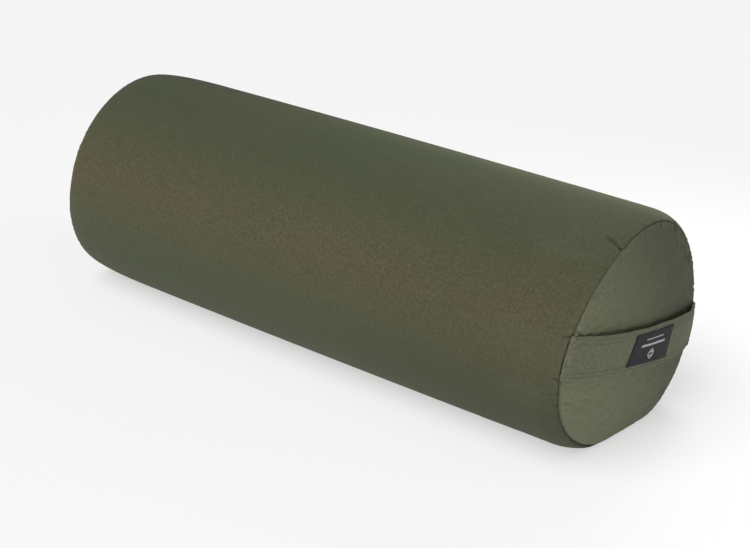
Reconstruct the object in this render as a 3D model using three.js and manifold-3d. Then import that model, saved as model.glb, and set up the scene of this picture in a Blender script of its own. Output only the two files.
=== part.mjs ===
// Round bolster pillow: a zipped canvas cover with a strap handle on one end,
// over a sewn liner that holds rolled cotton batting. Millimetres, +Z up, X along the
// bolster, origin on the floor under the middle. The handle's end is at +X.

import * as THREE from 'three';
import { mergeVertices } from 'three/addons/utils/BufferGeometryUtils.js';
import Module from 'manifold-3d';

const wasm = await Module();
wasm.setup();

// Driving dimensions of the filled cover.
const COVER_RADIUS = 115;
const SEAM_X = 318.5; // from the middle to either end seam
const AXIS_HEIGHT = 102; // the underside settles flat, 13 below the full round
const SEAM_RADIUS = 109;
const DOME = 17; // how far an end panel bulges past its seam
const FRONT_SHOULDER = 28; // length over which the tube curves in to a seam
const REAR_SHOULDER = 65;
const LEAN = 9; // how far the top sags towards +X, one radius above the axis

const CANVAS = 1.5;
const GAP = 0.3; // clearance between touching pieces
const COVER_SIDES = 48;
const INNER_SIDES = 36;

// The liner and the batting sit inside the cover.
const LINER_INSET = 6;
const MUSLIN = 1;
const BATTING_INSET = 7.5;
const CORE_RADIUS = 40;

// A strap handle crosses the front panel, with room for fingers behind it.
const STRAP_WIDTH = 42;
const STRAP_THICKNESS = 3;
const STRAP_REACH = 101; // half the strap's span
const STRAP_GAP = 7;
const STRAP_RISE = 32; // length over which the strap lifts to its full gap
const STRAP_TILT = THREE.MathUtils.degToRad(-12.5);
const LABEL = { length: 66, height: 32, thickness: 0.8 };

// The zip lies along the back, a little above the middle. Its heights are
// distances from the bolster's axis, and its widths are across the zip.
const ZIP_ANGLE = THREE.MathUtils.degToRad(15);
const SLIT = { length: 516, width: 12 };
const TAPE = { length: 530, width: 13, bottom: 111.2, thickness: 0.8 };
const COIL = { length: 500, width: 2, thickness: 1.6 };
const CHAIN_GAP = 1.6; // between the two coils, where the slider's post runs
const STOP = { length: 3, width: 2.6, height: 2 };
const SLIDER = { length: 12, width: 9, plate: 1, post: 1, postLength: 5, x: 242 };
const ARCH = { opening: 4, legs: 1, height: 3, width: 1.4 };
const PULL = { length: 22, width: 6, thickness: 1.2, bar: 1.2, eyeLength: 4.4, eyeWidth: 2.6 };
const PULL_LIFT = 1; // from the slider's top plate to the pull's hinge line
const CARE_TAG = { x: -230, length: 40, width: 12, thickness: 0.4, offset: 12, height: 110.6 };

const canvasLook = { color: 0x565846, roughness: 0.9, metalness: 0 };
const strapLook = { color: 0x5a5c4a, roughness: 0.9, metalness: 0 };
const labelLook = { color: 0x18181a, roughness: 0.75, metalness: 0 };
const tapeLook = { color: 0x3f4234, roughness: 0.85, metalness: 0 };
const coilLook = { color: 0x34362b, roughness: 0.45, metalness: 0 };
const metalLook = { color: 0x6d6a5e, roughness: 0.35, metalness: 1 };
const muslinLook = { color: 0xd9d2c0, roughness: 0.95, metalness: 0 };
const battingLook = { color: 0xe8e4da, roughness: 1, metalness: 0 };

const bolster = new THREE.Group();
// Only the front end has a handle and its label, so the middle lies behind them.
bolster.position.x = -(STRAP_GAP + STRAP_THICKNESS + GAP + LABEL.thickness) / 2;

function add(parent, name, geometry, look) {
  const mesh = new THREE.Mesh(geometry, new THREE.MeshStandardMaterial(look));
  mesh.name = name;
  parent.add(mesh);
  return mesh;
}

// A closed mesh as a manifold solid, and back.
function toSolid(geometry) {
  const bare = geometry.clone();
  bare.deleteAttribute('normal');
  bare.deleteAttribute('uv');
  const merged = mergeVertices(bare, 1e-4);
  return new wasm.Manifold(new wasm.Mesh({
    numProp: 3,
    vertProperties: new Float32Array(merged.attributes.position.array),
    triVerts: new Uint32Array(merged.index.array),
  }));
}

function toGeometry(solid) {
  const mesh = solid.getMesh();
  const geometry = new THREE.BufferGeometry();
  geometry.setAttribute('position', new THREE.BufferAttribute(mesh.vertProperties, 3));
  geometry.setIndex(new THREE.BufferAttribute(mesh.triVerts, 1));
  geometry.computeVertexNormals();
  return geometry;
}

// Turn an outline of (radius, x) points about the bolster's axis. The section
// is round, cut flat underneath in proportion to its radius.
function turned(outline, sides) {
  const points = outline.map(([radius, x]) => new THREE.Vector2(radius, x));
  const geometry = new THREE.LatheGeometry(points, sides);
  const place = geometry.attributes.position;
  for (let i = 0; i < place.count; i += 1) {
    const across = place.getZ(i);
    const up = place.getX(i);
    const radius = Math.hypot(across, up);
    const settled = Math.max(up, -radius * (AXIS_HEIGHT / COVER_RADIUS));
    place.setXYZ(i, place.getY(i), across, settled);
  }
  return geometry;
}

// Shift soft pieces along X in proportion to their height over the axis, as
// the filling sags, and stand them on the floor.
function settle(geometry) {
  const shear = new THREE.Matrix4().set(
    1, 0, LEAN / COVER_RADIUS, 0,
    0, 1, 0, 0,
    0, 0, 1, AXIS_HEIGHT,
    0, 0, 0, 1,
  );
  return geometry.applyMatrix4(shear);
}

// Points round one shoulder, from the seam to where the tube is straight.
function shoulder(side, length, inset) {
  const steps = 5;
  const points = [];
  for (let i = 0; i <= steps; i += 1) {
    const turn = (i / steps) * (Math.PI / 2);
    const radius = SEAM_RADIUS + (COVER_RADIUS - SEAM_RADIUS) * Math.sin(turn) - inset;
    const fromSeam = length * (1 - Math.cos(turn));
    points.push([radius, side * (SEAM_X - inset - fromSeam)]);
  }
  return points;
}

function tubeOutline(inset) {
  const front = shoulder(1, FRONT_SHOULDER, inset);
  const rear = shoulder(-1, REAR_SHOULDER, inset);
  return [...rear, ...front.reverse()];
}

function tubeShell(inset, thickness, sides) {
  const outside = tubeOutline(inset);
  const ends = SEAM_X - inset;
  const inside = tubeOutline(inset + thickness).reverse();
  inside[0][1] = ends;
  inside[inside.length - 1][1] = -ends;
  return turned([...outside, ...inside, outside[0]], sides);
}

// Points across an end, from the rim to the axis.
function dome(side, radius, inset) {
  const steps = 5;
  const points = [];
  for (let i = 0; i <= steps; i += 1) {
    const share = 1 - i / steps;
    points.push([radius * share, side * (SEAM_X - inset + DOME * (1 - share * share))]);
  }
  return points;
}

function endDisc(side, inset, thickness, sides) {
  const radius = SEAM_RADIUS - inset - thickness - GAP;
  const outer = dome(side, radius, inset);
  const inner = dome(side, radius, inset + thickness);
  const outline = side > 0 ? [...inner.reverse(), ...outer] : [...outer.reverse(), ...inner];
  return turned(outline, sides);
}

function battingWrap() {
  const end = SEAM_X - BATTING_INSET;
  const outline = tubeOutline(BATTING_INSET);
  const bore = CORE_RADIUS + GAP;
  return turned([[bore, -end], ...outline, [bore, end], [bore, -end]], INNER_SIDES);
}

function battingCore() {
  const end = SEAM_X - BATTING_INSET;
  const outline = [[0, -end], [CORE_RADIUS, -end], [CORE_RADIUS, end], [0, end]];
  return turned(outline, INNER_SIDES);
}

// How far the strap's inner face stands out from the seam plane, at a distance
// along the strap from its middle.
function strapStand(along) {
  const panelRadius = SEAM_RADIUS - CANVAS - GAP;
  const bulge = DOME * (1 - (along / panelRadius) ** 2);
  const lift = THREE.MathUtils.smoothstep(STRAP_REACH - Math.abs(along), 0, STRAP_RISE);
  return bulge + GAP + (STRAP_GAP - GAP) * lift;
}

// A band that follows the strap, from one distance out to another.
function strapBand(reach, from, to, width) {
  const steps = 24;
  const shape = new THREE.Shape();
  const edge = (i) => -reach + (2 * reach * i) / steps;
  shape.moveTo(edge(0), strapStand(edge(0)) + from);
  for (let i = 1; i <= steps; i += 1) shape.lineTo(edge(i), strapStand(edge(i)) + from);
  for (let i = steps; i >= 0; i -= 1) shape.lineTo(edge(i), strapStand(edge(i)) + to);
  const geometry = new THREE.ExtrudeGeometry(shape, { depth: width, bevelEnabled: false });
  return geometry.translate(0, 0, -width / 2);
}

// Carry a band from its own plane to the front end.
function ontoFront(geometry) {
  const toFront = new THREE.Matrix4().set(
    0, 1, 0, SEAM_X,
    1, 0, 0, 0,
    0, 0, -1, 0,
    0, 0, 0, 1,
  );
  geometry.applyMatrix4(toFront);
  return settle(geometry.rotateX(STRAP_TILT));
}

function strap() {
  return ontoFront(strapBand(STRAP_REACH, 0, STRAP_THICKNESS, STRAP_WIDTH));
}

function label() {
  const face = STRAP_THICKNESS + GAP;
  return ontoFront(strapBand(LABEL.length / 2, face, face + LABEL.thickness, LABEL.height));
}

// A block in the zip's own frame: x along it, y across it, z out from the axis.
function block(length, width, thickness, x, y, bottom) {
  const geometry = new THREE.BoxGeometry(length, width, thickness);
  return geometry.translate(x, y, bottom + thickness / 2);
}

// The cover's tube, with the slit that the zip closes.
function coverTube() {
  const tube = settle(tubeShell(0, CANVAS, COVER_SIDES));
  const cutter = block(SLIT.length, SLIT.width, 12, 0, 0, COVER_RADIUS - 8);
  cutter.rotateX(ZIP_ANGLE - Math.PI / 2).translate(0, 0, AXIS_HEIGHT);
  return toGeometry(toSolid(tube).subtract(toSolid(cutter)));
}

const coilBottom = TAPE.bottom + TAPE.thickness + GAP;
const plateBottom = coilBottom + COIL.thickness + GAP;
const plateTop = plateBottom + SLIDER.plate;

// The slider: two plates that hold the coils between them, the post that runs
// between the coils, and the arch that holds the pull.
function slider() {
  const plate = (bottom) => {
    const outline = new THREE.Shape();
    const half = SLIDER.length / 2;
    outline.moveTo(-half, -SLIDER.width * 0.36);
    outline.lineTo(half * 0.6, -SLIDER.width / 2);
    outline.lineTo(half, -SLIDER.width * 0.36);
    outline.lineTo(half, SLIDER.width * 0.36);
    outline.lineTo(half * 0.6, SLIDER.width / 2);
    outline.lineTo(-half, SLIDER.width * 0.36);
    outline.closePath();
    const geometry = new THREE.ExtrudeGeometry(outline, { depth: SLIDER.plate, bevelEnabled: false });
    return toSolid(geometry.translate(0, 0, bottom));
  };
  const lowPlateBottom = TAPE.bottom - GAP - SLIDER.plate;
  const postHeight = plateBottom + SLIDER.plate / 2 - lowPlateBottom;
  const post = block(SLIDER.postLength, SLIDER.post, postHeight, 0, 0, lowPlateBottom);

  const archOutline = new THREE.Shape();
  const outer = ARCH.opening / 2 + ARCH.legs;
  archOutline.moveTo(-outer, -SLIDER.plate / 2);
  archOutline.lineTo(-ARCH.opening / 2, -SLIDER.plate / 2);
  archOutline.lineTo(-ARCH.opening / 2, ARCH.height - ARCH.legs);
  archOutline.lineTo(ARCH.opening / 2, ARCH.height - ARCH.legs);
  archOutline.lineTo(ARCH.opening / 2, -SLIDER.plate / 2);
  archOutline.lineTo(outer, -SLIDER.plate / 2);
  archOutline.lineTo(outer, ARCH.height - ARCH.legs / 2);
  archOutline.lineTo(outer - ARCH.legs / 2, ARCH.height);
  archOutline.lineTo(-outer + ARCH.legs / 2, ARCH.height);
  archOutline.lineTo(-outer, ARCH.height - ARCH.legs / 2);
  archOutline.closePath();
  const arch = new THREE.ExtrudeGeometry(archOutline, { depth: ARCH.width, bevelEnabled: false });
  arch.rotateX(Math.PI / 2).translate(0, ARCH.width / 2, plateTop);

  const body = plate(lowPlateBottom).add(plate(plateBottom)).add(toSolid(post)).add(toSolid(arch));
  return toGeometry(body).translate(SLIDER.x, 0, 0);
}

// The pull: a tab whose end bar lies under the slider's arch, at the hinge.
function pull() {
  const half = PULL.width / 2;
  const start = -PULL.bar / 2;
  const outline = new THREE.Shape();
  outline.moveTo(start, -half * 0.7);
  outline.lineTo(PULL.eyeLength + 2, -half * 0.7);
  outline.lineTo(PULL.eyeLength + 4, -half);
  outline.lineTo(PULL.length - half, -half);
  outline.absarc(PULL.length - half, 0, half, -Math.PI / 2, Math.PI / 2, false);
  outline.lineTo(PULL.eyeLength + 4, half);
  outline.lineTo(PULL.eyeLength + 2, half * 0.7);
  outline.lineTo(start, half * 0.7);
  outline.closePath();
  const eye = new THREE.Path();
  const eyeStart = PULL.bar / 2;
  eye.moveTo(eyeStart, -PULL.eyeWidth / 2);
  eye.lineTo(eyeStart, PULL.eyeWidth / 2);
  eye.lineTo(eyeStart + PULL.eyeLength, PULL.eyeWidth / 2);
  eye.lineTo(eyeStart + PULL.eyeLength, -PULL.eyeWidth / 2);
  eye.closePath();
  outline.holes.push(eye);
  const options = { depth: PULL.thickness, bevelEnabled: false, curveSegments: 6 };
  const geometry = new THREE.ExtrudeGeometry(outline, options);
  geometry.translate(0, 0, -PULL.thickness / 2).rotateZ(Math.PI);
  return geometry.translate(SLIDER.x, 0, plateTop + PULL_LIFT);
}

// Filling and liner.
add(bolster, 'batting_core_roll', settle(battingCore()), battingLook);
add(bolster, 'batting_wrap', settle(battingWrap()), battingLook);
add(bolster, 'liner_tube_panel', settle(tubeShell(LINER_INSET, MUSLIN, INNER_SIDES)), muslinLook);
add(bolster, 'liner_front_panel', settle(endDisc(1, LINER_INSET, MUSLIN, INNER_SIDES)), muslinLook);
add(bolster, 'liner_rear_panel', settle(endDisc(-1, LINER_INSET, MUSLIN, INNER_SIDES)), muslinLook);

// Cover, handle and label.
add(bolster, 'cover_tube_panel', coverTube(), canvasLook);
add(bolster, 'cover_front_panel', settle(endDisc(1, 0, CANVAS, COVER_SIDES)), canvasLook);
add(bolster, 'cover_rear_panel', settle(endDisc(-1, 0, CANVAS, COVER_SIDES)), canvasLook);
add(bolster, 'handle_strap', strap(), strapLook);
add(bolster, 'handle_label', label(), labelLook);

// Zip.
const zip = new THREE.Group();
zip.position.z = AXIS_HEIGHT;
zip.rotation.x = ZIP_ANGLE - Math.PI / 2;
bolster.add(zip);

for (const [place, side] of [['upper', -1], ['lower', 1]]) {
  const tapeY = side * (CHAIN_GAP / 2 + TAPE.width / 2);
  const tape = block(TAPE.length, TAPE.width, TAPE.thickness, 0, tapeY, TAPE.bottom);
  add(zip, `zipper_tape_${place}`, tape, tapeLook);

  const coilY = side * (CHAIN_GAP / 2 + COIL.width / 2);
  const coil = block(COIL.length, COIL.width, COIL.thickness, 0, coilY, coilBottom);
  add(zip, `zipper_coil_${place}`, coil, coilLook);

  const stopX = COIL.length / 2 + GAP + STOP.length / 2;
  const stopY = side * (CHAIN_GAP / 2 + STOP.width / 2);
  const stop = block(STOP.length, STOP.width, STOP.height, stopX, stopY, coilBottom);
  add(zip, `zipper_top_stop_${place}`, stop, metalLook);
}
const endStopWidth = CHAIN_GAP + 2 * STOP.width;
const endStopX = -(COIL.length / 2 + GAP + STOP.length / 2);
add(zip, 'zipper_bottom_stop',
  block(STOP.length, endStopWidth, STOP.height, endStopX, 0, coilBottom), metalLook);
add(zip, 'zipper_slider_body', slider(), metalLook);
add(zip, 'zipper_pull_tab', pull(), metalLook);
add(zip, 'care_tag',
  block(CARE_TAG.length, CARE_TAG.width, CARE_TAG.thickness,
    CARE_TAG.x, CARE_TAG.offset, CARE_TAG.height - CARE_TAG.thickness), muslinLook);

export default bolster;
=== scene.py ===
"""Looks of the round bolster pillow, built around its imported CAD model.

Metres, with +Z up and X along the bolster. Angles round the bolster run from +Y upwards: 90 degrees is its
top and 180 its front side, away from the zip.
"""

import math

import bmesh
import bpy
import numpy as np
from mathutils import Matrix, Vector


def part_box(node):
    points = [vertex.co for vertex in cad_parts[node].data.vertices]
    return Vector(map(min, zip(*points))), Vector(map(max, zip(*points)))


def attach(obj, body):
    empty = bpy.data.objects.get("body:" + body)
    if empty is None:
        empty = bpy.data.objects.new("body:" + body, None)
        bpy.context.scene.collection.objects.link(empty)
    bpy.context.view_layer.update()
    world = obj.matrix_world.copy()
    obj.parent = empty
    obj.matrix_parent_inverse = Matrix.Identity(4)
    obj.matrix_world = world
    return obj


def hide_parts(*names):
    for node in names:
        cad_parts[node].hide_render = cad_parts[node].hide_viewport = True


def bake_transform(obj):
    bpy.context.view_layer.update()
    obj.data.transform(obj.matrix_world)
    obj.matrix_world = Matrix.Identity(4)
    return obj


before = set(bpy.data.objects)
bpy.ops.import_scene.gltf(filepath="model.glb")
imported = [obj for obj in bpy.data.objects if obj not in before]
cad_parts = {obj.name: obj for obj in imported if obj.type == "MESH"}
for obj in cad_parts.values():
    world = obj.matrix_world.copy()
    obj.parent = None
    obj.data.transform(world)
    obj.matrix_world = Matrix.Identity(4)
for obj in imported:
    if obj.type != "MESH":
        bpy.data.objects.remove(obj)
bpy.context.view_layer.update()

# ---------------------------------------------------------------- sizes, from the frame
TUBE_LOW, TUBE_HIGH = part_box("cover_tube_panel")
RADIUS = (TUBE_HIGH.y - TUBE_LOW.y) / 2
AXIS_HEIGHT = TUBE_HIGH.z - RADIUS
MIDDLE_X = (TUBE_LOW.x + TUBE_HIGH.x) / 2
SEAM_RADIUS = 0.946 * RADIUS
SEAM_X = 2.77 * RADIUS           # from the middle to either end seam
DOME = 0.148 * RADIUS            # how far an end panel bulges past its seam
CANVAS = 0.0011                  # thickness of the cover's cloth
GIRTH = 2 * math.pi * RADIUS

# How the soft cover has settled. For either end: its shoulder's length and roundness, then how far its
# seam leans at the top, is skewed to one side, is bent like a saddle, and is oval.
BOW = 0.0125                     # the tube's swell at mid length, as a share of its radius
FRONT = dict(shoulder=0.025, power=1.21, lean=0.008, skew=0.0016, saddle=0.0044, oval=0.0245)
REAR = dict(shoulder=0.079, power=1.0, lean=0.0093, skew=-0.0076, saddle=0.0, oval=0.0)
SADDLE_ANGLE = math.radians(126.4)  # round the axis, to where a bent or oval seam stands out
SETTLE_ROUNDING = 0.0046         # how softly the underside turns into its flat
SAG_REACH = 0.15                 # how far along the tube an end's lean fades out

# The end seams: a groove where the two cloths turn in, with small gathers along it.
GROOVE_DEPTH = 0.0014
GROOVE_WIDTH = 0.0011
GATHER_HEIGHT = 0.00028
GATHER_REACH = 0.006
TURNING = (0.96, 0.28)           # which way cloth turns in at a seam: along the bolster, towards its axis
ALLOWANCE = 0.004                # how far the turned-in cloth runs inside
RESTING_HEIGHT = 0.003           # cloth lower than this is pressed smooth by the floor

# Grids of the cover: coarse for the cloth simulation, fine for the finished cloth.
SIM_COLUMNS = 192
COLUMNS = 528
FINE_REACH = 0.11                # closer rows within this distance of a seam
SEAM_REACH = 0.03                # and the closest ones within this
SIM_ROWS = dict(first=0.004, finest=0.004, fine=0.004, coarse=0.012)
ROWS = dict(first=0.0004, finest=0.0008, fine=0.002, coarse=0.006)
ROW_GROWTH = 1.3
RIM_CROWDING = 0.8               # how much the discs' cells narrow towards their rim

# The cloth simulation.
EASE = 0.025                     # spare cloth gathered in at the seams
EASE_REACH = 0.02
SIM_FRAMES = 20
SIM_CAP = 0.004                  # the furthest that the cloth may move
PRESSURE = 4.0
STIR = 0.0003                    # small random moves that the cloth starts from
PINNED_BESIDE_ZIP = 4            # columns on either side of it
PINNED_HEIGHT = 0.004            # what lies lower than this rests on the floor
SMOOTHING = 3                    # passes that take out ripples as fine as the grid
REAR_RUFFLE = 0.35               # share of the buckling kept at the rear end, which is pulled tighter

# The zip, in the plane that it lies in.
ZIP_ANGLE = math.radians(15)
ZIP_COLUMN = round(math.degrees(ZIP_ANGLE) / 360 * COLUMNS)
SLIT_COLUMNS = 4                 # columns from the zip's middle to either edge of the slit
SLIT_HALF = 0.258
TAPE_LOW, TAPE_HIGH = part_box("zipper_tape_upper")
COIL_LOW, COIL_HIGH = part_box("zipper_coil_upper")
ZIP_X = (TAPE_LOW.x + TAPE_HIGH.x) / 2
TAPE_TOP = 0.112                 # from the bolster's axis
COIL_BOTTOM = 0.1123
HEM_BOTTOM = TAPE_TOP + 0.0004
SLIT_HEM = (0.95, 0.65), (0.93, 0.0)  # rows of the hem: share of the slit's width, share of the way out

# The strap across the front panel.
STRAP_TILT = math.radians(12.5)
STRAP_OFFSET = -0.026 * RADIUS
STRAP_HALF = 0.021
STRAP_THICKNESS = 0.0024
STITCH_ROWS = (0.003, 0.007)     # from either long edge
STRAP_TAUT = 0.16                # share of its reach over which it stops following the panel's dome
STRAP_RISE = 0.34                # share of its reach over which it lifts off the panel
STRAP_GAP = 0.0004               # under its sewn ends
STRAP_LIFT = 0.0012              # more of a gap under its middle,
STRAP_GAPE = 0.0022              # and more again along its upper edge
STRAP_TUCK = (0.0034, 0.0017)    # depth and length of the dip where it goes into the seam
LABEL_HALF = (0.033, 0.016)
LABEL_RISE = 0.0007              # the label sits this much above the strap's middle line
LABEL_THICKNESS = 0.0008
LABEL_STITCH_INSET = 0.0014      # from the label's edge to its stitches

# Where seams are tight, where cloth is browner, and where light and shade are painted on, in degrees round
# the
# axis: from where to where with the length of either soft edge, as in between(), or a middle and a half
# width, as in bell(). The lines with metres say from which X something starts and over which length it grows,
# as in ramp().
TIGHT_LOW_FRONT = (125, 35, 265, 20)
TIGHT_AT_STRAP = (156, 6, 186, 6)
# Painted light and shade on the tube, from the top, underside, front and near-end bands and the last line:
# lighter along its front and on top at the near end, darker on top at the far end and underneath.
TOP_BACK = (5, 40, 90, 22)
UNDERSIDE = (172, 45, 350, 70)
WORN_BAND = (158, 24)
PAINTED_LIGHT_FRONT = (160, 38)
WARM_NEAR_END = (0.12, 0.2)      # metres
PAINTED_LIGHT_NEAR_END = (0.05, 0.18)     # metres
PAINTED_LIGHT_TOP = (-0.3, 0.45)         # metres

# Creases on the tube: distance from the front seam, degrees round the axis, which way the crease runs
# (0 is along the bolster, 90 round it), then its half length, half width and depth.
TUBE_CREASES = (
    (0.0165, 111, 155, 0.0065, 0.0014, 0.0022),
    (0.0110, 112, 160, 0.0060, 0.0014, 0.0024),
    (0.0050, 113, 165, 0.0060, 0.0013, 0.0022),
    (0.0030, 104, 160, 0.0045, 0.0009, 0.0012),
    (0.0085, 105, 140, 0.0045, 0.0011, 0.0006),
    (0.0040, 125, 165, 0.0050, 0.0010, 0.0011),
    (0.0020, 131, 175, 0.0030, 0.0008, 0.0007),
    (0.0020, 142, 155, 0.0030, 0.0008, 0.0008),
    (0.0040, 159, 200, 0.0060, 0.0013, 0.0018),
    (0.0040, 180, 160, 0.0055, 0.0011, 0.0014),
    (0.0065, 188, 180, 0.0085, 0.0013, 0.0010),
    (0.0050, 195, 165, 0.0075, 0.0012, 0.0010),
    (0.0035, 203, 170, 0.0055, 0.0011, 0.0008),
    (0.0035, 93, 210, 0.0055, 0.0010, 0.0008),
    (0.0030, 85, 195, 0.0050, 0.0010, 0.0008),
    (0.0030, 76, 150, 0.0060, 0.0011, 0.0008),
    (0.0015, 59, 170, 0.0035, 0.0018, 0.0017),
    (0.0030, 36, 170, 0.0080, 0.0016, 0.0005),
    (0.0030, 22, 190, 0.0080, 0.0018, 0.0009),
    (0.0030, 5, 175, 0.0070, 0.0016, 0.0009),
    (0.0300, 120, 10, 0.0300, 0.0060, 0.0007),
    (0.0350, 167, -10, 0.0300, 0.0070, 0.0008),
    (0.0280, 192, 5, 0.0250, 0.0060, 0.0007),
)
# Creases on the front panel: how far towards +Y and how far up from its middle, then as above, with
# 0 for a crease that runs towards +Y.
PANEL_CREASES = (
    (0.051, 0.076, 95, 0.0100, 0.0024, 0.0009),
    (0.074, 0.059, 110, 0.0120, 0.0026, 0.0011),
    (0.054, 0.091, 60, 0.0060, 0.0016, 0.0016),
    (0.088, 0.048, 30, 0.0080, 0.0018, 0.0014),
    (-0.095, 0.040, -50, 0.0080, 0.0013, 0.0014),
    (-0.094, -0.029, -20, 0.0090, 0.0015, 0.0008),
    (-0.078, 0.068, -40, 0.0080, 0.0018, 0.0005),
    (0.020, 0.098, 80, 0.0080, 0.0016, 0.0006),
    (0.005, 0.099, 95, 0.0070, 0.0015, 0.0005),
)
CREASE_SHUT = 0.0028             # a crease this deep gets painted shade as dark as the seam
CREASE_RIDGE = (0.45, 2.0, 1.2)  # beside it: height over its depth, place and width over its half width


# ---------------------------------------------------------------- camera, floor and light
CAMERA_AZIMUTH = 39.64           # degrees, as in away()
CAMERA_ELEVATION = 24.75
CAMERA_DISTANCE = 14.826 * RADIUS
CAMERA_LENS = 81.57
CAMERA_TARGET = Vector((MIDDLE_X + 0.1535 * RADIUS, 0.032 * RADIUS, AXIS_HEIGHT - 0.247 * RADIUS))


def away(azimuth, elevation):
    """Unit vector from the bolster, by angles in degrees. Azimuth 0 is in front, at -Y, and 90 at +X."""
    a, e = math.radians(azimuth), math.radians(elevation)
    return Vector((math.sin(a) * math.cos(e), -math.cos(a) * math.cos(e), math.sin(e)))


def add_object(name, data, where=(0, 0, 0), facing=None):
    """Puts an object in the scene. A camera or a lamp looks the way it is facing."""
    made = bpy.data.objects.new(name, data)
    made.location = where
    if facing is not None:
        made.rotation_euler = facing.to_track_quat("-Z", "Y").to_euler()
    bpy.context.scene.collection.objects.link(made)
    return made


def make_camera():
    back = away(CAMERA_AZIMUTH, CAMERA_ELEVATION)
    data = bpy.data.cameras.new("camera")
    data.lens = CAMERA_LENS
    bpy.context.scene.camera = add_object("camera", data, CAMERA_TARGET + back * CAMERA_DISTANCE, -back)


def make_floor():
    half = 30.0
    corners = [(-half, -half, 0), (half, -half, 0), (half, half, 0), (-half, half, 0)]
    floor = make_object("floor", corners, [(0, 1, 2, 3)])
    material = bpy.data.materials.new("floor")
    material.use_nodes = True
    shader = material.node_tree.nodes["Principled BSDF"]
    shader.inputs["Base Color"].default_value = (0.45, 0.45, 0.45, 1)
    shader.inputs["Roughness"].default_value = 1.0
    shader.inputs["Specular IOR Level"].default_value = 0.0
    shader.inputs["Emission Color"].default_value = (1, 1, 1, 1)
    shader.inputs["Emission Strength"].default_value = 0.54
    floor.data.materials.append(material)


def sun(name, azimuth, elevation, spread, strength):
    data = bpy.data.lights.new(name, "SUN")
    data.angle = math.radians(spread)
    data.energy = strength
    add_object(name, data, facing=-away(azimuth, elevation))


def softbox(name, where, aim, size, power):
    data = bpy.data.lights.new(name, "AREA")
    data.shape = "SQUARE"
    data.size = size
    data.energy = power
    add_object(name, data, where, Vector(aim) - Vector(where)).visible_camera = False


def make_lights():
    """A white tent: soft light from all round, a wide lamp in front and small ones at the near end."""
    world = bpy.data.worlds.new("studio")
    world.use_nodes = True
    tree = world.node_tree
    background = tree.nodes["Background"]
    background.inputs["Color"].default_value = (1, 1, 1, 1)
    seen = tree.nodes.new("ShaderNodeMapRange")
    seen.inputs["To Min"].default_value = 0.22
    seen.inputs["To Max"].default_value = 0.92
    tree.links.new(tree.nodes.new("ShaderNodeLightPath").outputs["Is Camera Ray"], seen.inputs["Value"])
    tree.links.new(seen.outputs[0], background.inputs["Strength"])
    bpy.context.scene.world = world
    bpy.context.scene.view_settings.view_transform = "Standard"
    sun("front_lamp", -10, 55, 50, 2.05)
    sun("side_lamp", 10, 38, 30, 0.3)
    softbox("lamp_over_near_end", (0.42, -0.1, 0.95), (0.25, 0, 0.2), 0.4, 0.45)
    softbox("lamp_behind_near_end", (0.17, 0.42, 0.5), (0.27, 0, 0.22), 0.2, 1.1)
    softbox("low_lamp_at_near_end", (0.7, -0.2, 0.03), (0.33, -0.03, 0.06), 0.15, 0.32)


# ---------------------------------------------------------------- small helpers
def full_turn(count):
    """Angles evenly spaced round a full turn."""
    return np.arange(count) * 2 * math.pi / count


def unit(vectors):
    return vectors / np.maximum(np.linalg.norm(vectors, axis=-1, keepdims=True), 1e-12)


def joined(parts):
    """Joins the first arrays of all parts, then the second ones, and so on."""
    return [np.concatenate(column) for column in zip(*parts)]


def bell(value, middle, half_width):
    return np.exp(-((value - middle) / half_width) ** 2)


def ramp(value, start, length):
    """Rises from 0 at start to 1 after a length."""
    return np.clip((value - start) / length, 0, 1)


def smoothstep(value):
    value = np.clip(value, 0, 1)
    return value * value * (3 - 2 * value)


def between(value, start, rise, stop, fall):
    """1 from start to stop and 0 outside, with a soft rise after the one and a soft fall before the other."""
    return smoothstep((value - start) / rise) * smoothstep((stop - value) / fall)


def smooth_noise(angle, seed, waves, low, high):
    """A periodic random curve of unit size: the sum of some waves with low to high cycles a turn."""
    random = np.random.default_rng(seed)
    total = np.zeros_like(angle)
    for cycles, phase, size in zip(random.integers(low, high, waves),
                                   random.uniform(0, 2 * math.pi, waves),
                                   random.uniform(0.5, 1.0, waves)):
        total += size * np.sin(cycles * angle + phase)
    return total / math.sqrt(waves / 2)


# ---------------------------------------------------------------- the cover's shape
def ring(end, side, angle):
    """Distance along X and radius of an end seam, at angles round the axis from +Y upwards."""
    twist = np.cos(2 * (angle - SADDLE_ANGLE))
    along = side * SEAM_X + end["lean"] * np.sin(angle) + end["skew"] * np.cos(angle)
    return along + end["saddle"] * twist, SEAM_RADIUS * (1 + end["oval"] * twist)


def place(along, radius, angle):
    """Points at a distance along the axis, a radius and an angle, pressed flat where they meet the floor."""
    over = AXIS_HEIGHT + radius * np.sin(angle)
    height = 0.5 * (over + np.sqrt(over ** 2 + SETTLE_ROUNDING ** 2))
    return np.stack(np.broadcast_arrays(MIDDLE_X + along, radius * np.cos(angle), height), -1)


def tube_radius(along):
    return RADIUS * (1 + BOW * (1 - (along / SEAM_X) ** 2))


def shoulder_curve(end):
    """The shoulder as (distance over the cloth from the seam, distance along X, share of the rise)."""
    turn = np.linspace(math.pi / 2, 0, 500)
    back = end["shoulder"] * (1 - np.sin(turn))
    rise = np.cos(turn) ** end["power"]
    steps = np.hypot(np.diff(back), np.diff(rise) * (RADIUS - SEAM_RADIUS))
    return np.concatenate([[0], np.cumsum(steps)]), back, rise


def half_length(end):
    return shoulder_curve(end)[0][-1] + SEAM_X - end["shoulder"]


def stations(end, first, finest, fine, coarse):
    """Distances over the cloth from a seam to the middle of the tube, close together near the seam."""
    total = half_length(end)
    places = [0.0]
    step = first
    while places[-1] + 1.5 * step < total:
        places.append(places[-1] + step)
        limit = finest if places[-1] < SEAM_REACH else fine if places[-1] < FINE_REACH else coarse
        step = min(step * ROW_GROWTH, limit)
    return np.array(places + [total])


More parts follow.
